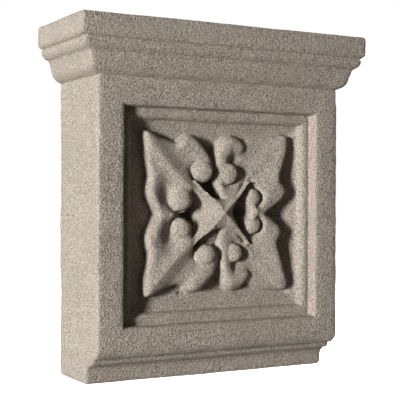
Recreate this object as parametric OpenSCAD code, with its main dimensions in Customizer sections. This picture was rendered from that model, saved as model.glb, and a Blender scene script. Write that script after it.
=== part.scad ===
// Cast-stone corbel: a moulded cap over a flat block, with a sunk square panel and a
// four-leaved rosette on the front, and a foot that steps back under the block.
// One piece, cast in one go. Millimetres. +Z is up, the front faces -Y, +X is to the
// right as seen from in front. The origin is the centre of the back, on the plane that
// lies against the wall.

/* [Block] */
// Height from the foot to the seat on top
total_height = 305; // [240:1:400]
// Width of the block under the cap
body_width = 240; // [190:1:310]
// Depth of the block from the wall to its front face
body_depth = 81.5; // [66:0.5:110]
// Rounding of the worn upright edges
arris_radius = 3.5; // [1.5:0.5:6]
// Rounding of the edges under the foot
foot_edge_radius = 4; // [1.5:0.5:6]

/* [Cap] */
// Height of the whole cap moulding
cap_height = 49; // [38:0.5:60]
// How far the cap stands out past the block at each side
cap_overhang = 21.5; // [16:0.5:28]
// How far the cap stands out past the block's front face
front_overhang = 16.5; // [12:0.5:24]
// Height of the plain band at the top of the cap
band_height = 20; // [15:0.5:24]
// Rounding of the band's edges
band_edge_radius = 4; // [1:0.5:5.5]
// How far the first roll sits back from the band
band_step = 3.4; // [1.5:0.1:5]
// Height of the first roll, under the band
upper_roll_height = 8.5; // [6:0.5:10]
// How far the first roll curves in
upper_roll_inset = 2.6; // [1.5:0.1:4]
// Height of the second roll
middle_roll_height = 9.3; // [7:0.1:11]
// How far the second roll curves in
middle_roll_inset = 5.4; // [4:0.1:7]

/* [Foot] */
// How far the foot sits back from the block's front face
foot_setback = 25; // [18:0.5:32]
// Height at which the block's front starts to roll under
roll_start_height = 33.5; // [30:0.5:40]
// Radius of the roll under the block's front
roll_radius = 10.5; // [7:0.5:13]
// Radius of the small bead under the roll
foot_bead_radius = 5; // [3:0.5:6]
// Height of the plain foot under the beads
foot_height = 13; // [9:0.5:14]

/* [Panel] */
// Width of the sunk panel at the front face
panel_width = 197; // [170:1:204]
// Height of the sunk panel at the front face
panel_height = 190; // [165:1:196]
// Height of the panel's centre above the foot
panel_centre_height = 141; // [136:0.5:146]
// Depth of the panel's floor behind the front face
panel_depth = 33; // [27:0.5:38]
// Rounding of the panel's front edge
panel_edge_radius = 3; // [1:0.5:4]
// Depth of the narrow groove beside the bead
groove_depth = 8.2; // [7:0.1:9]
// Radius of the bead that runs round the panel
frame_bead_radius = 6; // [5:0.1:7]
// Depth of the bead's crest behind the front face
frame_bead_depth = 6.4; // [5:0.1:7]
// Distance of the bead's crest from the panel's edge
frame_bead_inset = 7.8; // [7:0.1:9]
// Width of the whole frame, from the panel's edge to its floor
frame_width = 30; // [27:0.5:33]

/* [Rosette] */
// Span of the rosette, tip to tip along one side
rosette_span = 147; // [125:1:150]
// Height of the rosette's centre above the foot
rosette_centre_height = 142.8; // [138:0.2:147]
// Height of the centre point above the panel floor
apex_height = 33; // [27:0.5:35]
// Height of the leaf tips above the panel floor
tip_height = 26; // [20:0.5:28]
// Height above the panel floor at which two side lobes meet
lobe_height = 17.5; // [14:0.5:21]
// Height of the buds above the panel floor
bud_height = 22.5; // [19:0.5:26]
// Radius of the eight buds
bud_radius = 10; // [8:0.5:11]
// How deep each side lobe is hollowed
lobe_dish = 4.5; // [2:0.5:7]
// Number of spokes the carving is cut with in each eighth
spokes_per_eighth = 17; // [8:1:18]

/* [Hidden] */
$fn = 48;

// The wall plane is y = 0; heights are measured from the foot, then shifted.
origin_height = total_height / 2;
front_y = -body_depth;
half_width = body_width / 2;
body_top = total_height - cap_height;
cap_half = half_width + cap_overhang;
cap_front = front_y - front_overhang;
foot_front = front_y + foot_setback;
roll_foot = roll_start_height - roll_radius;

// A circular arc that leaves a wall upright and has curved in by `inset` after `height`.
function roll_radius_for(inset, height) = (height * height + inset * inset) / (2 * inset);
upper_start = cap_overhang - band_step;
middle_start = upper_start - upper_roll_inset;
lower_start = middle_start - middle_roll_inset;
upper_z = total_height - band_height;
middle_z = upper_z - upper_roll_height;
lower_z = middle_z - middle_roll_height;
lower_radius = min(lower_start, lower_z - body_top - 1);

// The panel keeps a rim of stone round it, and the rosette keeps inside the frame.
rim = 14;
panel_w = min(panel_width, body_width - 2 * rim);
panel_h = min(panel_height,
    2 * (panel_centre_height - roll_start_height - 6), 2 * (body_top - panel_centre_height - rim));
carved_span = min(rosette_span, min(panel_w, panel_h) - 2 * frame_width + 17);

// ---------------------------------------------------------------- block and cap

// Plan of a tier: flat at the wall, its two front corners rounded.
module plan(half, front, radius) {
    flat = half - radius;
    translate([-half, front + radius]) square([2 * half, -front - radius]);
    translate([-flat, front]) square([2 * flat, radius + 1]);
    for (side = [-1, 1]) translate([side * (half - radius), front + radius]) circle(radius);
}

// Cap profile on one side: x is the distance out from the block, y the height.
module cap_profile() {
    edge = band_edge_radius;
    // plain band with both edges rounded
    translate([-1, upper_z]) square([cap_overhang - edge + 1, band_height]);
    translate([-1, upper_z + edge]) square([cap_overhang + 1, band_height - 2 * edge]);
    for (z = [upper_z + edge, total_height - edge])
        translate([cap_overhang - edge, z]) circle(edge);
    // three rolls, each starting upright under the one above
    cap_roll(upper_start, upper_z, upper_roll_inset, upper_roll_height);
    cap_roll(middle_start, middle_z, middle_roll_inset, middle_roll_height);
    round_z = body_top + lower_radius;
    translate([-1, round_z]) square([lower_start + 1, lower_z - round_z + 0.01]);
    intersection() {
        translate([lower_start - lower_radius, round_z]) circle(lower_radius);
        translate([-1, body_top]) square([lower_start + 1, lower_radius + 0.01]);
    }
}

module cap_roll(start, top, inset, height) {
    radius = roll_radius_for(inset, height);
    intersection() {
        translate([start - radius, top]) circle(radius, $fn = 96);
        translate([-1, top - height]) square([start + 1, height + 0.01]);
    }
}

// The profile runs along both sides and the front, so the corners are true mitres.
module cap() {
    intersection() {
        rotate([90, 0, 0]) linear_extrude(-cap_front + 1) side_profile();
        rotate([90, 0, 90]) translate([0, 0, -cap_half - 1]) linear_extrude(2 * cap_half + 2)
            front_profile();
        linear_extrude(total_height) plan(cap_half, cap_front, arris_radius);
    }
}

module side_profile() {
    for (side = [0, 1]) mirror([side, 0]) translate([half_width, 0]) cap_profile();
    translate([-half_width + 0.5, body_top]) square([body_width - 1, cap_height]);
}

module front_profile() {
    mirror([1, 0]) translate([body_depth, 0]) scale([front_overhang / cap_overhang, 1])
        cap_profile();
    translate([front_y + 0.5, body_top]) square([body_depth - 0.5, cap_height]);
}

// Side view of the block: the front rolls under and steps back to the foot.
module block_side() {
    bead = foot_bead_radius;
    bead_front = front_y + roll_radius + 1.2;
    bead_top = roll_foot - 0.8;
    ledge = bead_top - bead;
    cove = min(ledge - foot_height, foot_front - bead_front - bead);
    translate([front_y, roll_start_height]) square([body_depth, body_top - roll_start_height + 1]);
    translate([front_y + roll_radius, roll_foot]) square([body_depth - roll_radius, roll_radius + 1]);
    translate([front_y + roll_radius, roll_start_height]) circle(roll_radius);
    // a small bead
    translate([bead_front, bead_top]) square([-bead_front, roll_foot - bead_top + 1]);
    translate([bead_front + bead, ledge]) square([-bead_front - bead, bead + 1]);
    translate([bead_front + bead, bead_top]) circle(bead);
    // cove down to the foot
    difference() {
        translate([foot_front - cove, ledge - cove]) square([-foot_front + cove, cove + 1]);
        translate([foot_front - cove, ledge - cove]) circle(cove);
    }
    foot_side();
}

module foot_side() {
    edge = foot_edge_radius;
    translate([foot_front, edge]) square([-foot_front, foot_height + 6 - edge]);
    translate([foot_front + edge, 0]) square([-foot_front - edge, edge + 1]);
    translate([foot_front + edge, edge]) circle(edge);
}

// Front view of the block: only the bottom corners are rounded.
module block_front() {
    edge = foot_edge_radius;
    translate([-half_width, edge]) square([body_width, body_top + 2 - edge]);
    translate([-half_width + edge, 0]) square([body_width - 2 * edge, edge + 1]);
    for (side = [-1, 1]) translate([side * (half_width - edge), edge]) circle(edge);
}

module block() {
    intersection() {
        rotate([90, 0, 90]) translate([0, 0, -half_width - 1]) linear_extrude(body_width + 2)
            block_side();
        rotate([90, 0, 0]) linear_extrude(body_depth + 1) block_front();
        union() {
            translate([0, 0, roll_foot]) linear_extrude(body_top - roll_foot + 2)
                plan(half_width, front_y, arris_radius);
            linear_extrude(roll_foot + 1) plan(half_width, foot_front, arris_radius);
            translate([0, 0, foot_height]) linear_extrude(roll_foot - foot_height + 1)
                plan(half_width, front_y + roll_radius, arris_radius);
        }
    }
}

// ---------------------------------------------------------------- sunk panel

// Section of the hollow: x runs in from the panel's edge, y is the height, and the
// front face is at y = 0. Exact arcs for the edge, the bead and the cove.
cove_drop = panel_depth - frame_bead_depth - frame_bead_radius;
cove_start = frame_bead_inset + frame_bead_radius;
cove_run = frame_width - cove_start;
// the cove leaves the bead steeply and meets the floor at a slant
cove_radius = 1.18 * max(cove_run, cove_drop) + 5.5;
cove_chord = norm([cove_run, cove_drop]);
cove_rise = sqrt(cove_radius * cove_radius - cove_chord * cove_chord / 4);
cove_x = cove_start + cove_run / 2 + cove_rise * cove_drop / cove_chord;
cove_y = -panel_depth + cove_drop / 2 + cove_rise * cove_run / cove_chord;

module hollow_section(reach) {
    edge = panel_edge_radius;
    difference() {
        translate([0, -panel_depth]) square([reach, panel_depth + 2]);
        // rounded front edge
        translate([-1, -panel_depth - 1]) square([edge + 1, panel_depth + 1 - edge]);
        translate([0, -edge]) circle(edge);
        // floor of the groove
        translate([-1, -panel_depth - 1]) square([edge + 2, panel_depth + 1 - groove_depth]);
        // bead
        translate([frame_bead_inset, -frame_bead_depth - frame_bead_radius])
            circle(frame_bead_radius);
        translate([-1, -panel_depth - 1])
            square([cove_start + 1, panel_depth + 1 - frame_bead_depth - frame_bead_radius]);
        // cove between the bead and the floor
        difference() {
            translate([cove_start - 1, -panel_depth - 1]) square([cove_run + 1, cove_drop + 1]);
            translate([cove_x, cove_y]) circle(cove_radius, $fn = 96);
        }
    }
}

// One side of the hollow, cut off at its mitres.
module hollow_side(across, reach) {
    run = across - 2 * reach;
    intersection() {
        rotate([90, 0, 90]) translate([0, 0, -across / 2 - 1]) linear_extrude(across + 2)
            hollow_section(reach);
        translate([0, 0, -panel_depth - 1]) linear_extrude(panel_depth + 4)
            polygon([[-across / 2, 0], [across / 2, 0], [run / 2, reach], [-run / 2, reach]]);
    }
}

// The hollow stands up with its front face on y = front_y.
module hollow() {
    reach = frame_width + 5;
    translate([0, front_y, panel_centre_height]) rotate([90, 0, 0]) {
        for (turn = [0, 180]) rotate([0, 0, turn])
            translate([0, -panel_h / 2, 0]) hollow_side(panel_w, reach);
        for (turn = [90, 270]) rotate([0, 0, turn])
            translate([0, -panel_w / 2, 0]) hollow_side(panel_h, reach);
        translate([-panel_w / 2 + frame_width, -panel_h / 2 + frame_width, -panel_depth])
            cube([panel_w - 2 * frame_width, panel_h - 2 * frame_width, panel_depth + 2]);
    }
}

// ---------------------------------------------------------------- rosette

// Eight mirrored half leaves. Everything is worked out for one of them, with the
// middle of a side at 0 degrees and the leaf's rib at 45 degrees.
unit = carved_span / 147;
notch_reach = 50 * unit;
lobe_centre = [57.5, 18.5] * unit;
lobe_radius = 14 * unit;
shoulder = [63.5, 31] * unit;
tip_side = [74.5, 67] * unit;
tip_radius = 7 * unit;
tip_centre = carved_span / 2 - tip_radius;
bud_centre = [37, 13] * unit;
point_base = 19 * unit;
rib_length = tip_centre * sqrt(2) + tip_radius;
sink = 2;

// Where a spoke at `angle` leaves (side = 1) or enters (side = -1) a circle, or 0.
function across_circle(centre, radius, angle, side) =
    let (along = centre[0] * cos(angle) + centre[1] * sin(angle),
         off = centre[0] * sin(angle) - centre[1] * cos(angle),
         rest = radius * radius - off * off)
    rest <= 0 ? 0 : along + side * sqrt(rest);

// Where a spoke meets the straight line through two points.
function across_line(a, b, angle) =
    let (step = b - a)
    (a[0] * step[1] - a[1] * step[0]) / (step[1] * cos(angle) - step[0] * sin(angle));

// Outline of the half leaf: notch, round side lobe, shoulder, long edge and blunt tip.
function outline(angle) =
    let (lobe = across_circle(lobe_centre, lobe_radius, angle, 1),
         notch = angle > 25 ? 1000 :
             across_line([notch_reach, 0], [notch_reach + 12, 7] , angle),
         side_lobe = lobe > 0 ? min(lobe, notch) : angle > 20 ? 0 : notch,
         edge = across_line(shoulder, tip_side, angle),
         leaf = max(side_lobe, edge),
         tip = across_circle([tip_centre, tip_centre], tip_radius, angle, 1))
    angle < 12 ? side_lobe : tip > 0 ? min(leaf, tip) : leaf;

function ease(t) = let (u = max(0, min(1, t))) u * u * (3 - 2 * u);

// Pit between the centre point and a bud: its outer and inner edges along a spoke.
function pit_outer(angle) =
    let (near = across_circle(bud_centre, bud_radius, angle, -1))
    near > 0 ? near : angle < 20 ? 40 * unit - angle * 0.4 : 36.5 * unit;
function pit_inner(angle) =
    let (face = point_base / cos(angle), shut = ease((angle - 22) / 13))
    face + (pit_outer(angle) - 1.5 - face) * shut;
function pit_depth_share(angle) = 1 - ease((angle - 29) / 6);

// Height of the rib above the panel floor, s out from the centre along the diagonal.
function rib_height(s) = tip_height
    + (apex_height - tip_height) * pow(max(0, 1 - s / rib_length), 3);
// The centre point's faces are hollow between the ribs.
function point_face(x, y) =
    let (far = max(x, y, 0.01), near = min(x, y) / far, low = apex_height - far * 1.02)
    low + (rib_height(far * sqrt(2)) - low) * near * near;
// A leaf falls away from its rib, lifts again to its edge, sinks to where two side lobes
// meet, and is hollowed in the middle of each side lobe.
lobe_fall = (rib_height(50 * unit / sqrt(2)) + 0.8 - lobe_height) / (32 * unit);
function leaf_top(x, y) =
    let (s = (x + y) / sqrt(2), v = abs(x - y) / sqrt(2),
         side = max(0, 32 * unit - min(x, y)) * ease((max(x, y) - 22 * unit) / (12 * unit)),
         away = norm([x, y] - [52, 18] * unit) / (7.5 * unit))
    rib_height(s) - 0.35 * min(v, 9) + 0.15 * max(0, v - 9) - lobe_fall * side
        - lobe_dish * exp(-away * away / 2);
function roof(x, y) =
    let (s = (x + y) / sqrt(2), face = point_face(x, y))
    face + (leaf_top(x, y) - face) * ease((s - 22 * unit) / (16 * unit));
function bud_top(x, y) =
    let (away = norm([x, y] - bud_centre), rest = bud_radius * bud_radius - away * away)
    rest <= 0 ? 0 : bud_height - bud_radius + sqrt(rest);
function blend(a, b, soft) =
    let (near = max(0, soft - abs(a - b))) max(a, b) + near * near / (4 * soft);
function carving(x, y) = blend(roof(x, y), bud_top(x, y), 1.5);

// One spoke, from the centre point out to the foot of the leaf's edge: [radius, height].
point_steps = 4;
leaf_steps = 13;
function spoke(angle) =
    let (c = cos(angle), s = sin(angle), inner = pit_inner(angle), outer = pit_outer(angle),
         open = pit_depth_share(angle), rim = outline(angle), draft = 0.8)
    concat(
        [for (i = [1:point_steps]) let (r = inner * i / point_steps) [r, roof(r * c, r * s)]],
        [for (side = [0, 1])
            let (r = side == 0 ? inner + 0.15 * (outer - inner) : outer - 0.1 * (outer - inner),
                 top = roof(r * c, r * s))
            [r, top + (-sink / 2 - top) * open]],
        [for (i = [0:leaf_steps])
            let (r = outer + (rim - 1.2 - outer) * i / leaf_steps)
            [r, carving(r * c, r * s)]],
        [[rim - 0.2, carving(rim * c, rim * s) - 0.9],
         [rim, carving(rim * c, rim * s) - 2.4],
         [rim + draft, -sink]]);

module rosette() {
    count = 8 * spokes_per_eighth;
    fold = [for (i = [0:count - 1])
        let (turn = (i % (2 * spokes_per_eighth)) * 45 / spokes_per_eighth)
        turn > 45 ? 90 - turn : turn];
    spokes = [for (i = [0:count - 1]) spoke(fold[i])];
    rings = len(spokes[0]);
    top = [for (i = [0:count - 1]) for (p = spokes[i])
        [p[0] * cos(360 * i / count), p[0] * sin(360 * i / count), p[1]]];
    apex = len(top);
    base = apex + 1;
    points = concat(top, [[0, 0, apex_height], [0, 0, -sink]]);
    faces = concat(
        [for (i = [0:count - 1]) let (j = (i + 1) % count) [apex, j * rings, i * rings]],
        [for (i = [0:count - 1]) let (j = (i + 1) % count) for (k = [0:rings - 2])
            for (half = [0, 1]) half == 0
                ? [i * rings + k, j * rings + k, i * rings + k + 1]
                : [j * rings + k, j * rings + k + 1, i * rings + k + 1]],
        [for (i = [0:count - 1]) let (j = (i + 1) % count)
            [base, i * rings + rings - 1, j * rings + rings - 1]]);
    translate([0, front_y + panel_depth, rosette_centre_height]) rotate([90, 0, 0])
        polyhedron(points = points, faces = faces, convexity = 10);
}

// ---------------------------------------------------------------- the piece

module corbel() {
    color([0.52, 0.48, 0.44])
    translate([0, 0, -origin_height]) {
        difference() {
            union() {
                block();
                cap();
            }
            hollow();
        }
        rosette();
    }
}

corbel();
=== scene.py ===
# %% [markdown]
# # A cast-stone corbel
# A corbel is a block that stands out of a wall to carry a shelf or a beam. This one was
# cast in a mould from sand and cement, so it is a single piece with soft, slightly worn
# edges and a sandy skin all over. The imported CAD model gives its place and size; this
# script builds the detailed stone in the same frame, in metres.

import math

import bmesh
import bpy
import numpy as np
import openvdb
from mathutils import Matrix, Vector


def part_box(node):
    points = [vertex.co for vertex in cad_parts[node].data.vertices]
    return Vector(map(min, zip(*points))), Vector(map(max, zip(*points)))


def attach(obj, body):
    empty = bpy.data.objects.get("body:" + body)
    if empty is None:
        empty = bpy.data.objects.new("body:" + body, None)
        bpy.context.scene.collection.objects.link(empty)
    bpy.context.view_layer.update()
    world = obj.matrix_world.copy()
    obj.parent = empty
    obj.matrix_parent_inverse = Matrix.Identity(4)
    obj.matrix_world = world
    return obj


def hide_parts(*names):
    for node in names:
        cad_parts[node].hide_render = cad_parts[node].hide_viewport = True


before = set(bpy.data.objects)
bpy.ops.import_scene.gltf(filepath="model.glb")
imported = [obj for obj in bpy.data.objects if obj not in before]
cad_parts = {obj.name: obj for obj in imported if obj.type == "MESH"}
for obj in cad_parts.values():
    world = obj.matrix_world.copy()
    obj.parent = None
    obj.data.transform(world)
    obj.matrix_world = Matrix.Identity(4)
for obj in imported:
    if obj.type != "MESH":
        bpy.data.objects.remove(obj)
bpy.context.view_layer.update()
low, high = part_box("corbel")
print("corbel in the CAD frame:", [round(v, 4) for v in low], [round(v, 4) for v in high])

# %% [markdown]
# ## Camera
# The corbel is seen from its left, at half its height, through a long lens. A camera in
# Blender looks along its own -Z, so it is first stood up to look along Y, and then turned
# to the side. The small roll is put in before the other two, about the camera's own axis.

# %% Camera
camera_data = bpy.data.cameras.new("camera")
camera_data.sensor_width = 36.0
camera_data.lens = 91.93
camera = bpy.data.objects.new("camera", camera_data)
bpy.context.scene.collection.objects.link(camera)
camera.location = (-0.4537, -0.8420, 0.0029)
turn, tilt, roll = math.radians(29.4), math.radians(-0.05), math.radians(0.2)
camera.rotation_euler = (Matrix.Rotation(-turn, 4, "Z") @ Matrix.Rotation(math.pi / 2 + tilt, 4, "X")
                         @ Matrix.Rotation(roll, 4, "Z")).to_euler()
bpy.context.scene.camera = camera
print("lens", camera_data.lens, "mm, turned", round(math.degrees(turn), 1), "degrees")

# %% [markdown]
# ## Main sizes
# All shapes below are worked out in millimetres: depth is measured out from the wall, x
# from the middle and z up from the foot. The outer sizes are read from the CAD model, so
# the two stay together if its sizes change.

# %% Main sizes
HEIGHT = (high.z - low.z) * 1000
SIDE_OVERHANG, FRONT_OVERHANG = 21.5, 16.5
HALF_WIDTH = (high.x - low.x) * 500 - SIDE_OVERHANG
BODY_DEPTH = -low.y * 1000 - FRONT_OVERHANG
FOOT_DEPTH = BODY_DEPTH - 25.0
print("height %.1f, half width %.1f, depth %.1f mm" % (HEIGHT, HALF_WIDTH, BODY_DEPTH))

# %% [markdown]
# ## Cap, block and foot
# The cap is a run of mouldings: a plain band, a roll tucked under it, a shallow step and a
# fuller roll that ends on the block. The block is plain. At the bottom of its front it
# rolls under and steps back, past a small bead and a cove, to the foot. A mould maker
# would cut the profile once and run it along the front and both sides, mitred at the
# corners. In Blender a profile could be swept along a path in the same way. Here only its
# outline is drawn, from arcs and short lines, because a later cell turns outlines into
# distances, and those give mitres with softly rounded edges for nothing.

# %% Cap profile
BAND_HEIGHT, BAND_EDGE = 20, 4.0


def bow(x, y, radius, start, stop, steps=9):
    """Points on an arc, with its angles in degrees."""
    return [(x + radius * math.cos(a), y + radius * math.sin(a))
            for a in np.radians(np.linspace(start, stop, steps))]


def cap_profile(out, overhang):
    """Outline of the cap, from its foot up to its top, on a face that stands `out` from the middle.

    It is drawn as on the side, with z down from the top, and drawn in for a smaller overhang.
    """
    lower_roll = [(0, -49.4)] + bow(-2.0, -37.6, 11.3, -83, -4)
    step = [(9.2, -37.2), (9.8, -36.8), (10.7, -33.6), (11.4, -31.2), (12.4, -30.0), (13.8, -29.2)]
    upper_roll = bow(9.0, -21.8, 9.3, -45, 0)
    shadow_groove = [(17.1, -20.6), (17.1, -20.0)]
    band = (bow(SIDE_OVERHANG - BAND_EDGE, BAND_EDGE - BAND_HEIGHT, BAND_EDGE, -80, 0)
            + bow(SIDE_OVERHANG - BAND_EDGE, -BAND_EDGE, BAND_EDGE, 0, 90))
    return [(out + x * overhang / SIDE_OVERHANG, HEIGHT + z)
            for x, z in lower_roll + step + upper_roll + shadow_groove + band]


print("cap profile:", len(cap_profile(0, SIDE_OVERHANG)), "points")

# %% Front and side profiles
FOOT_EDGE = 4
BEHIND = -60

foot = (bow(FOOT_DEPTH - FOOT_EDGE, FOOT_EDGE, FOOT_EDGE, -90, 0)
        + bow(FOOT_DEPTH + 8.0, 8.5, 8.0, 180, 105)
        + [(FOOT_DEPTH + 6.3, 17.4), (FOOT_DEPTH + 7.6, 17.5)])
bead = bow(BODY_DEPTH - 16.7, 22.2, 5.0, -90, 0) + [(BODY_DEPTH - 11.7, 23.0)]
roll_under = bow(BODY_DEPTH - 10.5, 33.5, 10.5, -90, 0)
front_profile = ([(BEHIND, 0)] + foot + bead + roll_under + cap_profile(BODY_DEPTH, FRONT_OVERHANG)
                 + [(BEHIND, HEIGHT)])
side_profile = ([(BEHIND, 0)] + bow(HALF_WIDTH - FOOT_EDGE, FOOT_EDGE, FOOT_EDGE, -90, 0)
                + cap_profile(HALF_WIDTH, SIDE_OVERHANG) + [(BEHIND, HEIGHT)])
print("front profile:", len(front_profile), "points, side profile:", len(side_profile), "points")

# %% [markdown]
# ## Sunk panel
# The panel is framed by a rounded edge, a narrow groove, a bead and a shallow cove that
# runs down to the floor. On the real piece this is one more moulding, mitred in the
# corners. It could be cut with a boolean, but as an outline of distance in from the
# panel's edge against depth it mitres itself, just as the cap does.

# %% Panel
PANEL_HALF_X, PANEL_HALF_Z, PANEL_Z = 98.5, 95.0, 141.0
PANEL_DEPTH = 33.0
panel_edge = bow(0, 3.2, 3.2, -90, 0, 5)
panel_groove = [(3.4, 9.0), (4.0, 9.2)]
panel_bead = bow(7.8, 13.9, 5.6, -130, 0)
panel_cove = [(13.7, 14.8), (16.5, 16.0), (20, 17.2), (25, 19.0), (31, 21.3), (38, 24.2), (45, 27.2),
              (52, 30.1), (59, 32.2), (66, PANEL_DEPTH)]
hollow_profile = ([(0, BEHIND)] + panel_edge + panel_groove + panel_bead + panel_cove
                  + [(150, PANEL_DEPTH), (150, BEHIND)])
print("panel %.0f x %.0f mm, %.0f mm deep" % (2 * PANEL_HALF_X, 2 * PANEL_HALF_Z, PANEL_DEPTH))

# %% [markdown]
# ## Rosette: the outlines of the leaves
# Four leaves meet in a raised point. Each leaf has a rib along the diagonal and two side
# lobes, and every lobe curls round to end in a round bud. A carver draws the outline of
# each leaf first and then models the top of it. The same two steps are used here: an
# outline gives the edge, and a height over the panel's floor gives the top. The outlines
# are drawn one by one, because on the real piece no two leaves are alike.

# %% Leaf outlines
ROSETTE_Z = 142.8
# x and height from the rosette's centre: round the side lobe, the tip, and the upper or lower lobe
LEAVES = {
    "upper left": [
        (-8, 8), (-18, 14), (-27, 20), (-28.5, 17.5), (-26, 12), (-28, 6), (-33, 1), (-41, -0.5),
        (-44, -6), (-54, -6.5), (-58.5, -1.5), (-64.5, 7), (-69.5, 14), (-70.5, 22), (-67.5, 29),
        (-68, 36), (-71.5, 47), (-73.5, 60), (-74, 68), (-71, 71), (-64, 70), (-57, 66), (-48, 63.5),
        (-40, 60.5), (-36, 64), (-31, 68), (-26, 69), (-20, 65), (-13, 58), (-7, 48), (-4.5, 39),
        (-6, 31), (-11, 26.5), (-17, 26.5), (-21, 28), (-22, 26), (-16, 19)],
    "upper right": [
        (8, 3), (15, 9), (21, 17), (27, 26), (28.5, 21), (26, 16), (25, 11), (31, 4), (33, -6),
        (43, -7), (47, -1), (57, 6), (64, 11), (69, 18), (68, 23), (62.5, 30), (62.5, 34), (66.5, 44),
        (70.5, 54), (73, 64), (72, 71), (62, 71), (50, 69.5), (40, 67.5), (31, 66), (26.5, 62),
        (24, 65.5), (19, 69), (12, 69.5), (5, 67), (0, 61), (-3, 52), (-4, 42), (-3.5, 30), (-1, 23),
        (0, 14), (3, 7)],
    "lower left": [
        (-8, -8), (-16, -20), (-21, -27), (-22, -33), (-18, -28), (-11, -24), (-4, -26), (0, -33),
        (1.5, -42), (-0.5, -50), (-5, -57), (-11, -63), (-17, -67), (-24, -68.5), (-30, -67),
        (-33.5, -61.5), (-42, -61.5), (-50, -64), (-58, -67.5), (-65, -70.5), (-71, -71),
        (-73.5, -65), (-73, -56), (-70.5, -48), (-67.5, -38), (-68, -32), (-71, -25), (-71, -19),
        (-68.5, -13), (-64, -6.5), (-58.5, 1.5), (-54, 6.5), (-44, 6), (-41, 0.5), (-33, -3),
        (-27.5, -8), (-27, -14), (-28, -20), (-25, -20), (-17, -14)],
    "lower right": [
        (8, -3), (15, -9), (21, -17), (27, -26), (28, -20), (24.5, -12), (25, -7), (31, -2), (33, 6),
        (43, 7), (47, 1), (56, -6), (63, -12), (64.5, -19), (60, -25), (59.5, -29), (65, -42),
        (69.5, -54), (73.5, -65), (71, -70), (58, -70), (44, -68.5), (35, -64), (31, -59), (29, -64),
        (23, -68), (17, -69.5), (11, -67.5), (6.5, -62), (3, -53), (0.5, -41), (0, -29), (0, -20),
        (0, -12)],
}


def round_off(points):
    """Cuts every corner of a closed outline twice, so that it runs in soft curves."""
    for _ in range(2):
        points = [q for p, n in zip(points, points[1:] + points[:1])
                  for q in ((p[0] * 0.78 + n[0] * 0.22, p[1] * 0.78 + n[1] * 0.22),
                            (p[0] * 0.22 + n[0] * 0.78, p[1] * 0.22 + n[1] * 0.78))]
    return points


print("leaf outlines:", {name: len(outline) for name, outline in LEAVES.items()})

# %% [markdown]
# ## Rosette: the tops of the leaves
# The top of a leaf falls away from its rib on both sides: steeply on one flank, gently on
# the other. Hollows are then pressed into it, and thick rolled fingers laid over it. The
# fingers join the leaf through a soft maximum, which blends two heights where they come
# close, as a chisel would leave them.

# %% Leaf tops
# x, height from the centre, half width, half height, depth of each hollow
HOLLOWS = [(-51, 14, 6, 10, 6.5), (-48, -17, 6, 9, 6.5), (12, 49, 4.5, 6, 3.0),
           (10, -43, 5.0, 4.5, 5.0), (29, 24, 3.5, 5, 2.5), (-14, -24, 8, 5, 4.0)]
# half width, height of the crest, and the line it follows: lobes and fingers that roll over
ROLLS = [(8, 25.0, [(-10, 36), (-13, 48), (-24, 59), (-34, 62)]),
         (8, 25.0, [(-7, -37), (-11, -50), (-22, -60)]),
         (7, 23.5, [(3, 34), (4, 50), (12, 61), (21, 60)]),
         (7, 23.5, [(6, -30), (7, -48), (14, -59), (26, -56)]),
         (7, 22.5, [(-63, 29), (-65, 16), (-56, 4), (-46, 2)]),
         (7, 22.5, [(-62, -28), (-65, -17), (-56, -5), (-46, -2)])]
# distance along the rib, and the height of the rib there
LEFT_RIB = [0, 15, 30, 45, 70, 95, 104], [31, 29.5, 28, 27, 26, 25, 24.5]
RIGHT_RIB = [0, 15, 30, 45, 60, 80, 104], [31, 28, 24, 21.5, 21.5, 23, 24.5]


def soft_max(a, b, soft):
    """The larger of two heights, blended where they are less than `soft` apart."""
    near = np.maximum(soft - np.abs(a - b), 0)
    return np.maximum(a, b) + near * near / (4 * soft)


def distance_to_line(line, x, z):
    """Distance from each point (x, z) to a line of several parts."""
    away = np.full_like(x, 1e9)
    for (x0, z0), (x1, z1) in zip(line, line[1:]):
        along = (x - x0) * (x1 - x0) + (z - z0) * (z1 - z0)
        t = np.clip(along / ((x1 - x0) ** 2 + (z1 - z0) ** 2), 0, 1)
        away = np.minimum(away, np.hypot(x - x0 - t * (x1 - x0), z - z0 - t * (z1 - z0)))
    return away


def leaf_top(x, z, side, up):
    """Height of one leaf above the panel floor; side and up are 1 or -1 and say which corner it points to."""
    s = (side * x + up * z) / math.sqrt(2)
    across = (x - side * up * z) / math.sqrt(2)
    if side < 0:
        # the ribs of the left leaves bow out towards the side
        across = across + (6.0 if up > 0 else 3.5) * np.sin(math.pi * np.clip(s / 112, 0, 1))
    left, right = np.maximum(-across, 0), np.maximum(across, 0)
    if side < 0:
        top = np.interp(s, *LEFT_RIB) - 0.25 * np.minimum(left, 9) + 0.13 * np.clip(left - 9, 0, 20)
        top = top - 0.46 * np.minimum(right, 12) * np.clip(1.3 - s / 150, 0.6, 1)
    else:
        top = np.interp(s, *RIGHT_RIB) - 0.34 * np.minimum(left, 8) + 0.36 * np.clip(right - 3, 0, 18)
        top = top - np.exp(-((s - 28) / 16) ** 2) * 3.0 * np.clip(right / 4, 0, 1)
    for hx, hz, wide, tall, deep in HOLLOWS:
        top = top - deep * np.exp(-((x - hx) / wide) ** 2 / 2 - ((z - hz) / tall) ** 2 / 2)
    for wide, height, line in ROLLS:
        top = soft_max(top, height - 3.0 * (distance_to_line(line, x, z) / wide) ** 2, 2.0)
    return top


print(len(HOLLOWS), "hollows and", len(ROLLS), "rolled fingers")

# %% [markdown]
# ## Rosette: the buds
# A bud is a low dome with a narrow trough round it, open on the side where the finger
# runs into it. Spheres could be set in instead, but a dome as part of the height keeps
# bud and leaf one skin, as they are in the cast.

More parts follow.
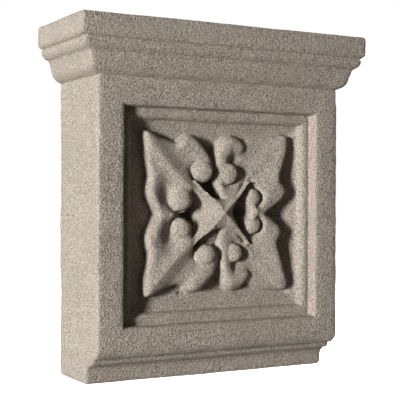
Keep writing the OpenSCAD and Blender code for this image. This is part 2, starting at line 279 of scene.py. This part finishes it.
# %% Buds
# x, height from the centre, half width, half height, height of its top, direction of the finger in degrees
BUDS = [(-39.5, 12.5, 9.6, 10.4, 28.5, 70), (-38.5, -12.5, 8.6, 9.2, 27.5, 290),
        (32.5, 14, 9.0, 8.8, 27.0, 205), (31.8, -10, 9.6, 8.8, 27.5, 150),
        (-17.5, 36, 9.4, 9.4, 28.0, 30), (8.5, 35, 9.4, 9.6, 27.0, 155),
        (-14.5, -35.5, 9.4, 9.0, 28.0, 320), (15, -34.5, 7.8, 8.4, 26.5, 190)]
TROUGH_DEPTH, TROUGH_WIDTH = 9, 2.6
BUD_ROUNDING, BUD_LEAN = 5.5, 0.24


def with_troughs(x, z, top):
    """Cuts a narrow trough round every bud, open towards its finger."""
    for bx, bz, wide, tall, height, finger in BUDS:
        away = np.hypot((x - bx) / wide, (z - bz) / tall)
        gap = np.maximum(away - 1, 0) * wide
        facing = np.cos(np.arctan2(z - bz, x - bx) - math.radians(finger))
        share = np.clip(0.15 - 0.95 * facing, 0, 1) * np.exp(-(gap / TROUGH_WIDTH) ** 2)
        top = top + (np.minimum(height - TROUGH_DEPTH, top) - top) * share
    return top


def with_buds(x, z, top):
    """Sets the dome of every bud on a leaf; the domes lean a little to the right."""
    for bx, bz, wide, tall, height, _ in BUDS:
        away = np.hypot((x - bx) / wide, (z - bz) / tall)
        fall = 1 - np.sqrt(np.maximum(1 - away * away, 0))
        dome = height - BUD_ROUNDING * fall + BUD_LEAN * (x - bx)
        top = np.where(away < 1, soft_max(top, dome, 1.0), top)
    return top


print(len(BUDS), "buds")

# %% [markdown]
# ## Distance to an outline
# One helper serves the profiles and the leaves: how far a place is from an outline, with
# a plus sign inside it and a minus sign outside. With such distances, forms are joined by
# taking the larger number and cut by taking the smaller, and an edge can be rounded by
# any radius.

# %% Distances
def distance_inside(outline, a, b):
    """Distance from each point (a, b) to a closed outline, positive inside it."""
    points = np.array(outline, float)
    best = np.full(a.shape, 1e9)
    inside = np.zeros(a.shape, bool)
    for (x0, y0), (x1, y1) in zip(points, np.roll(points, -1, axis=0)):
        dx, dy = x1 - x0, y1 - y0
        run = dx * dx + dy * dy
        if run < 1e-9:
            continue
        t = np.clip(((a - x0) * dx + (b - y0) * dy) / run, 0, 1)
        best = np.minimum(best, (a - x0 - t * dx) ** 2 + (b - y0 - t * dy) ** 2)
        if y0 != y1:
            crosses = ((y0 <= b) != (y1 <= b)) & (a < x0 + (b - y0) * dx / dy)
            inside ^= crosses
    return np.where(inside, 1, -1) * np.sqrt(best)


def cushion(inside, top, edge):
    """A form whose rim is `inside` mm away: rounded over at the edge, then a steep side."""
    e = np.clip(inside, 0, edge)
    drop = edge - np.sqrt(np.maximum(edge * edge - (edge - e) ** 2, 0))
    return top - drop - np.where(inside < 0, -inside * 9.0, 0)


middle = distance_inside(side_profile, np.array([0.0]), np.array([HEIGHT / 2]))[0]
print("the middle of the block is %.1f mm inside the side profile" % middle)

# %% [markdown]
# ## Rosette: the raised point
# The middle of the rosette rises to a point like a low pyramid, with a sharp arris towards
# each leaf. Its left face is hollow and wide, its right face is steep, and the faces above
# and below are narrow. Its height is worked out from the distance along the face and the
# distance across it, so one formula serves all four faces.

# %% Raised point
POINT_HEIGHT = 33
POINT_X, POINT_Z = 2.0, 1.0


def raised_point(x, z):
    """Height of the pyramid in the middle of the rosette."""
    u, v = x - POINT_X, z - POINT_Z
    far, near = np.maximum(np.abs(u), np.abs(v)), np.minimum(np.abs(u), np.abs(v))
    upright = np.abs(v) > np.abs(u)
    arris_line = POINT_HEIGHT - 0.15 * np.hypot(far, near)
    low_line = POINT_HEIGHT - far * np.where(upright, 0.40, 1.0)
    hollow_power = np.where(upright, 1.8, 1.3)
    face = low_line + (arris_line - low_line) * (near / np.maximum(far, 0.01)) ** hollow_power
    # the very tip is worn
    face = face - 1.5 * np.exp(-(np.hypot(u, v) / 4.5) ** 2)
    reach = np.where(upright, np.where(v > 0, 11.0, 13.5), np.where(u > 0, 15.0, 22.0))
    rim = reach + 9 * (near / 22) ** 2 - far
    return cushion(np.where(np.hypot(u, v) < 40, rim, -5), face, 2.5)


# %% [markdown]
# ## Rosette: all together
# Leaves, buds and point are joined by taking the greatest height at each place. Where
# there is no leaf the height is below the panel's floor, so nothing of the rosette shows.

# %% Rosette
BELOW_FLOOR = -9.0
LEAF_EDGE = 6.0


def rosette(x, z):
    """Height of the carving above the panel floor."""
    field = np.full_like(x, BELOW_FLOOR)
    for name, outline in LEAVES.items():
        side, up = (1 if "right" in name else -1), (1 if "upper" in name else -1)
        top = with_buds(x, z, with_troughs(x, z, leaf_top(x, z, side, up)))
        inside = distance_inside(round_off(outline), x, z)
        field = np.maximum(field, cushion(inside, top, LEAF_EDGE))
    # a low web of stone in the lower hollow
    web = 20 - 0.03 * (x + 5) ** 2 - 0.06 * (z + 19) ** 2
    field = np.where(np.hypot(x + 5, z + 19) < 16, soft_max(field, web, 3.0), field)
    return soft_max(field, raised_point(x, z), 3.0)


# %% [markdown]
# ## The block as a field
# Space is filled with a grid of samples a little over a millimetre apart, and each one
# holds how deep it lies inside the stone. The front profile and the side profile each give
# a distance; the smaller of the two is what both have in common, and that makes the
# mitred corners. Rounding where they meet wears the arrises down, as in any cast stone.

# %% Block
STEP = 1.1
MARGIN = 5.0
CAP_ARRIS, BODY_ARRIS = 3.2, 2.2
xs = np.arange(-HALF_WIDTH - SIDE_OVERHANG - MARGIN, HALF_WIDTH + SIDE_OVERHANG + MARGIN, STEP)
zs = np.arange(-MARGIN, HEIGHT + MARGIN, STEP)
ds = np.arange(-MARGIN, BODY_DEPTH + FRONT_OVERHANG + MARGIN, STEP)


def corner(a, b, radius):
    """Where two distances meet at an arris: the smaller one, with the edge rounded off."""
    rounded = radius - np.hypot(np.maximum(radius - a, 0), np.maximum(radius - b, 0))
    return np.where(np.minimum(a, b) < radius, rounded, np.minimum(a, b))


run_front = distance_inside(front_profile, *np.meshgrid(ds, zs, indexing="ij"))
run_side = distance_inside(side_profile, *np.meshgrid(np.abs(xs), zs, indexing="ij"))
# the rounding fades out at the top and the foot, which both runs share
arris = np.clip(np.minimum(zs, HEIGHT - zs), 0.01, np.where(zs > HEIGHT - 50, CAP_ARRIS, BODY_ARRIS))
solid = corner(run_front[None, :, :], run_side[:, None, :], arris[None, None, :])
solid = np.minimum(solid, ds[None, :, None])
print("field", solid.shape, "%.1f million samples" % (solid.size / 1e6))

# %% [markdown]
# ## The panel as a field
# The distance to the panel's outline depends only on how far in from the panel's edge a
# place is, and how deep. So it is worked out once, in a table with a row for every half
# millimetre of that inset, and read off for every place on the front. The hollow is then
# taken out of the block.

# %% Panel cut into the block
TABLE_START, TABLE_END, TABLE_STEP = -8.0, 110.0, 0.5
X, Z = np.meshgrid(xs, zs, indexing="ij")
inset = np.minimum(PANEL_HALF_X - np.abs(X), PANEL_HALF_Z - np.abs(Z - PANEL_Z))
depths = BODY_DEPTH - ds
rows = np.linspace(TABLE_START, TABLE_END, round((TABLE_END - TABLE_START) / TABLE_STEP) + 1)
hollow = distance_inside(hollow_profile, *np.meshgrid(rows, depths, indexing="ij"))
row = np.clip((inset - TABLE_START) / TABLE_STEP, 0, len(rows) - 1.001)
row_below = row.astype(int)
share = (row - row_below)[..., None]
air = hollow[row_below] * (1 - share) + hollow[row_below + 1] * share
air = np.where((inset > TABLE_START + TABLE_STEP)[..., None], air, -99).transpose(0, 2, 1)
solid = np.minimum(solid, -air)
print("panel table:", hollow.shape)

# %% [markdown]
# ## The carving as a field
# The rosette is a height at each place, not a distance. Divided by how steep the surface
# is there, the height difference becomes close to a distance, and the carving can be
# joined to the panel's floor with a maximum.

# %% Carving put into the panel
CARVING_INSET = 18
carved = rosette(X, Z - ROSETTE_Z)
slope_x, slope_z = np.gradient(carved, STEP)
steep = np.sqrt(1 + slope_x ** 2 + slope_z ** 2)
above_floor = PANEL_DEPTH - depths
carving = (carved[:, None, :] - above_floor[None, :, None]) / steep[:, None, :]
solid = np.where((inset > CARVING_INSET)[:, None, :], np.maximum(solid, carving), solid)
print("carving up to %.1f mm above the floor" % carved.max())

# %% [markdown]
# ## Cast unevenness
# No face of a cast stone is quite flat: the mould gives a little and the mix settles. Slow
# waves in random directions, a tenth of a millimetre or so high, keep the faces from
# looking machined. The random numbers are seeded, so every run gives the same stone.

# %% Cast unevenness
# length and height of each set of waves, in mm
SWELLS = ((70, 0.16), (38, 0.12), (19, 0.10), (9, 0.08), (5.5, 0.05))
random = np.random.default_rng(7)
for wave, height in SWELLS:
    for _ in range(4):
        k = random.normal(size=3)
        k *= 2 * math.pi / wave / np.linalg.norm(k)
        phase = random.uniform(0, 2 * math.pi)
        swell = np.exp(1j * (k[0] * xs + phase))[:, None, None] * np.exp(1j * k[1] * ds)[None, :, None] \
            * np.exp(1j * k[2] * zs)[None, None, :]
        solid += height * 0.5 * swell.real
# the back stays flat against the wall
solid = np.minimum(solid, ds[None, :, None])
print("swells up to", max(height for _, height in SWELLS), "mm high")

# %% [markdown]
# ## The mesh
# The skin of the stone lies where the field is zero. OpenVDB finds it and returns one
# closed mesh, with larger faces where the surface is flat. The normals are then all turned
# outwards, and the faces shaded smooth, since the form is rounded everywhere.

# %% Mesh
# the grid keeps distances up to this many mm from the skin
BAND = 2.4
grid = openvdb.FloatGrid(BAND)
grid.copyFromArray(np.ascontiguousarray(np.clip(-solid, -BAND, BAND), np.float32))
points, triangles, quads = grid.convertToPolygons(isovalue=0.0, adaptivity=0.05)
points = points * STEP + np.array([xs[0], ds[0], zs[0]])
# depth runs out from the wall, which is along -Y, and the frame is in metres about mid height
points = np.stack([points[:, 0], -points[:, 1], points[:, 2] - HEIGHT / 2], 1) / 1000
faces = [tuple(int(i) for i in f) for f in triangles] + [tuple(int(i) for i in f) for f in quads]
mesh = bpy.data.meshes.new("corbel_stone")
mesh.from_pydata(points.tolist(), [], faces)
mesh.validate()
stone = bpy.data.objects.new("corbel_stone", mesh)
bpy.context.scene.collection.objects.link(stone)
print("stone mesh:", len(mesh.vertices), "vertices,", len(triangles) + 2 * len(quads), "triangles")

# %% Normals and place in the frame
bm = bmesh.new()
bm.from_mesh(mesh)
bmesh.ops.recalc_face_normals(bm, faces=bm.faces)
if bm.calc_volume(signed=True) < 0:
    bmesh.ops.reverse_faces(bm, faces=bm.faces)
print("stone volume: %.2f litres" % (bm.calc_volume() * 1000))
bm.to_mesh(mesh)
bm.free()
for polygon in mesh.polygons:
    polygon.use_smooth = True

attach(stone, "root")
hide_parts("corbel")

# %% [markdown]
# ## Stone
# The material is cast stone: white cement, sand and crushed stone, rammed into a mould and
# left as it came out. That gives a matt, warm grey skin with pale and dark sand grains of
# about a millimetre, a few open pores, and soft patches some centimetres wide where the
# mix dried differently. Everything is a solid pattern, measured in real millimetres on the
# object, so it runs through the corners as it would in stone.

# %% Material helpers
def srgb(code):
    """An sRGB hex colour as the linear colour that a shader takes."""
    channels = [int(code[i:i + 2], 16) / 255 for i in (0, 2, 4)]
    return tuple(c / 12.92 if c <= 0.04045 else ((c + 0.055) / 1.055) ** 2.4 for c in channels) + (1.0,)


def add(tree, kind, links=(), values=(), **settings):
    """Adds a node: settings are its own fields, values its inputs, links (input, node, output)."""
    node = tree.nodes.new(kind)
    for name, value in settings.items():
        setattr(node, name, value)
    for name, value in dict(values).items():
        node.inputs[name].default_value = value
    for name, source, output in links:
        tree.links.new(source.outputs[output], node.inputs[name])
    return node


def per_mm(size):
    """Noise scale whose spots are `size` mm wide, on an object measured in metres."""
    return 1000.0 / size


# %% Cast stone
# real grains of this sand are 0.3 to 1 mm; the finest are drawn at 0.9 mm so that they show
GRAIN, PORE, PATCH = 0.9, 2.2, 35
material = bpy.data.materials.new("cast_stone")
material.use_nodes = True
tree = material.node_tree
tree.nodes.clear()
place = add(tree, "ShaderNodeTexCoord")
grains = add(tree, "ShaderNodeTexNoise", [("Vector", place, "Object")],
             {"Scale": per_mm(GRAIN), "Detail": 2.0, "Roughness": 0.65})
coarse = add(tree, "ShaderNodeTexNoise", [("Vector", place, "Object")],
             {"Scale": per_mm(PORE), "Detail": 2.0, "Roughness": 0.6})
patches = add(tree, "ShaderNodeTexNoise", [("Vector", place, "Object")],
              {"Scale": per_mm(PATCH), "Detail": 3.0})
print("cast stone: grains", GRAIN, "mm, pores", PORE, "mm, patches", PATCH, "mm")

# %% Stone colour
# from dark sand to pale cement
sand = add(tree, "ShaderNodeValToRGB", [("Fac", grains, "Fac")])
sand.color_ramp.elements[0].position = 0.36
sand.color_ramp.elements[0].color = srgb("665a4f")
sand.color_ramp.elements[1].position = 0.62
sand.color_ramp.elements[1].color = srgb("cbbcab")
drift = add(tree, "ShaderNodeMapRange", [("Value", patches, "Fac")],
            {"From Min": 0.3, "From Max": 0.7, "To Min": 0.94, "To Max": 1.05})
pores = add(tree, "ShaderNodeMapRange", [("Value", coarse, "Fac")],
            {"From Min": 0.26, "From Max": 0.38, "To Min": 0.62, "To Max": 1.0})
shade = add(tree, "ShaderNodeMath", [(0, drift, "Result"), (1, pores, "Result")], operation="MULTIPLY")
tint = add(tree, "ShaderNodeVectorMath", [(0, sand, "Color"), ("Scale", shade, "Value")], operation="SCALE")

# %% Stone skin
# the sand stands about a millimetre proud; bare cement and sand are matt, with no polish
roughcast = add(tree, "ShaderNodeMath", [(0, grains, "Fac"), (1, coarse, "Fac")], operation="ADD")
bump = add(tree, "ShaderNodeBump", [("Height", roughcast, "Value")], {"Strength": 0.9, "Distance": 0.0011})
skin = add(tree, "ShaderNodeBsdfPrincipled", [("Base Color", tint, "Vector"), ("Normal", bump, "Normal")],
           {"Roughness": 0.92, "IOR": 1.5})
add(tree, "ShaderNodeOutputMaterial", [("Surface", skin, "BSDF")])
stone.data.materials.append(material)
print("cast stone:", len(tree.nodes), "nodes")

# %% [markdown]
# ## Floor and background
# The corbel is held clear of a plain floor, as it would be on a wall. To the camera the
# floor and the air behind it are white, through the Light Path node, but they light the
# stone only as much as a dim studio would, so its own shadows stay deep. Mirrors and glass
# would see the white too.

# %% Floor
scene = bpy.context.scene
FLOOR_Z = low.z - 0.16
FLOOR_HALF = 9


def seen_directly(tree):
    """1 for rays that come from the eye, a mirror or a glass, 0 for light that bounces."""
    rays = add(tree, "ShaderNodeLightPath")
    first = add(tree, "ShaderNodeMath", [(0, rays, "Is Camera Ray"), (1, rays, "Is Glossy Ray")],
                operation="MAXIMUM")
    return add(tree, "ShaderNodeMath", [(0, first, "Value"), (1, rays, "Is Transmission Ray")],
               operation="MAXIMUM")


floor_mesh = bpy.data.meshes.new("floor")
floor_corners = [(x * FLOOR_HALF, y * FLOOR_HALF, FLOOR_Z) for x, y in ((-1, -1), (1, -1), (1, 1), (-1, 1))]
floor_mesh.from_pydata(floor_corners, [], [(0, 1, 2, 3)])
floor = bpy.data.objects.new("floor", floor_mesh)
scene.collection.objects.link(floor)
print("floor %.0f mm below the foot" % ((low.z - FLOOR_Z) * 1000))

# %% Floor paint
floor_paint = bpy.data.materials.new("pale_floor")
floor_paint.use_nodes = True
tree = floor_paint.node_tree
tree.nodes.clear()
matt = add(tree, "ShaderNodeBsdfDiffuse", values={"Color": srgb("e8e8e8")})
# away from the corbel the lamps reach the floor less, so its own white takes over
place = add(tree, "ShaderNodeNewGeometry")
distance = add(tree, "ShaderNodeVectorMath", [(0, place, "Position")], operation="LENGTH")
glow = add(tree, "ShaderNodeMapRange", [("Value", distance, "Value")],
           {"From Min": 1.0, "From Max": 3.0, "To Min": 0.92, "To Max": 1.0})
lift = add(tree, "ShaderNodeEmission", [("Strength", glow, "Result")], {"Color": (1, 1, 1, 1)})
lit = add(tree, "ShaderNodeAddShader", [(0, matt, "BSDF"), (1, lift, "Emission")])
dark = add(tree, "ShaderNodeBsdfDiffuse", values={"Color": srgb("505050")})
pick = add(tree, "ShaderNodeMixShader",
           [(0, seen_directly(tree), "Value"), (1, dark, "BSDF"), (2, lit, "Shader")])
add(tree, "ShaderNodeOutputMaterial", [("Surface", pick, "Shader")])
floor.data.materials.append(floor_paint)
print("floor paint:", len(tree.nodes), "nodes")

# %% Background
world = bpy.data.worlds.new("studio")
scene.world = world
world.use_nodes = True
tree = world.node_tree
tree.nodes.clear()
dim = add(tree, "ShaderNodeBackground", values={"Color": srgb("ffe0c8"), "Strength": 0.02})
white = add(tree, "ShaderNodeBackground", values={"Color": (1, 1, 1, 1), "Strength": 1.0})
pick = add(tree, "ShaderNodeMixShader",
           [(0, seen_directly(tree), "Value"), (1, dim, "Background"), (2, white, "Background")])
add(tree, "ShaderNodeOutputWorld", [("Surface", pick, "Shader")])
print("background:", world.name)

# %% [markdown]
# ## Light
# One soft lamp stands far round to the left, at the height of the corbel. It reaches the
# side nearly head on and rakes across the front, which is what brings out the carving. A
# second lamp behind and above lights only the back, the top and the far side, for views
# from there.

# %% Light
def soft_lamp(name, position, wide, tall, power, colour):
    """A rectangular lamp, in metres and watts, that faces the middle of the corbel."""
    data = bpy.data.lights.new(name, "AREA")
    data.shape = "RECTANGLE"
    data.size, data.size_y = wide, tall
    data.energy = power
    data.color = srgb(colour)[:3]
    lamp = bpy.data.objects.new(name, data)
    scene.collection.objects.link(lamp)
    lamp.location = position
    aim = Vector((0, -0.05, 0)) - Vector(position)
    lamp.rotation_euler = aim.to_track_quat("-Z", "Y").to_euler()
    return lamp


soft_lamp("key", (-2.55, -1.30, 0.16), 0.35, 0.7, 146, "f6fbff")
soft_lamp("far_side", (1.9, 2.2, 1.6), 1.2, 1.2, 130, "fff6ee")
scene.view_settings.view_transform = "Standard"
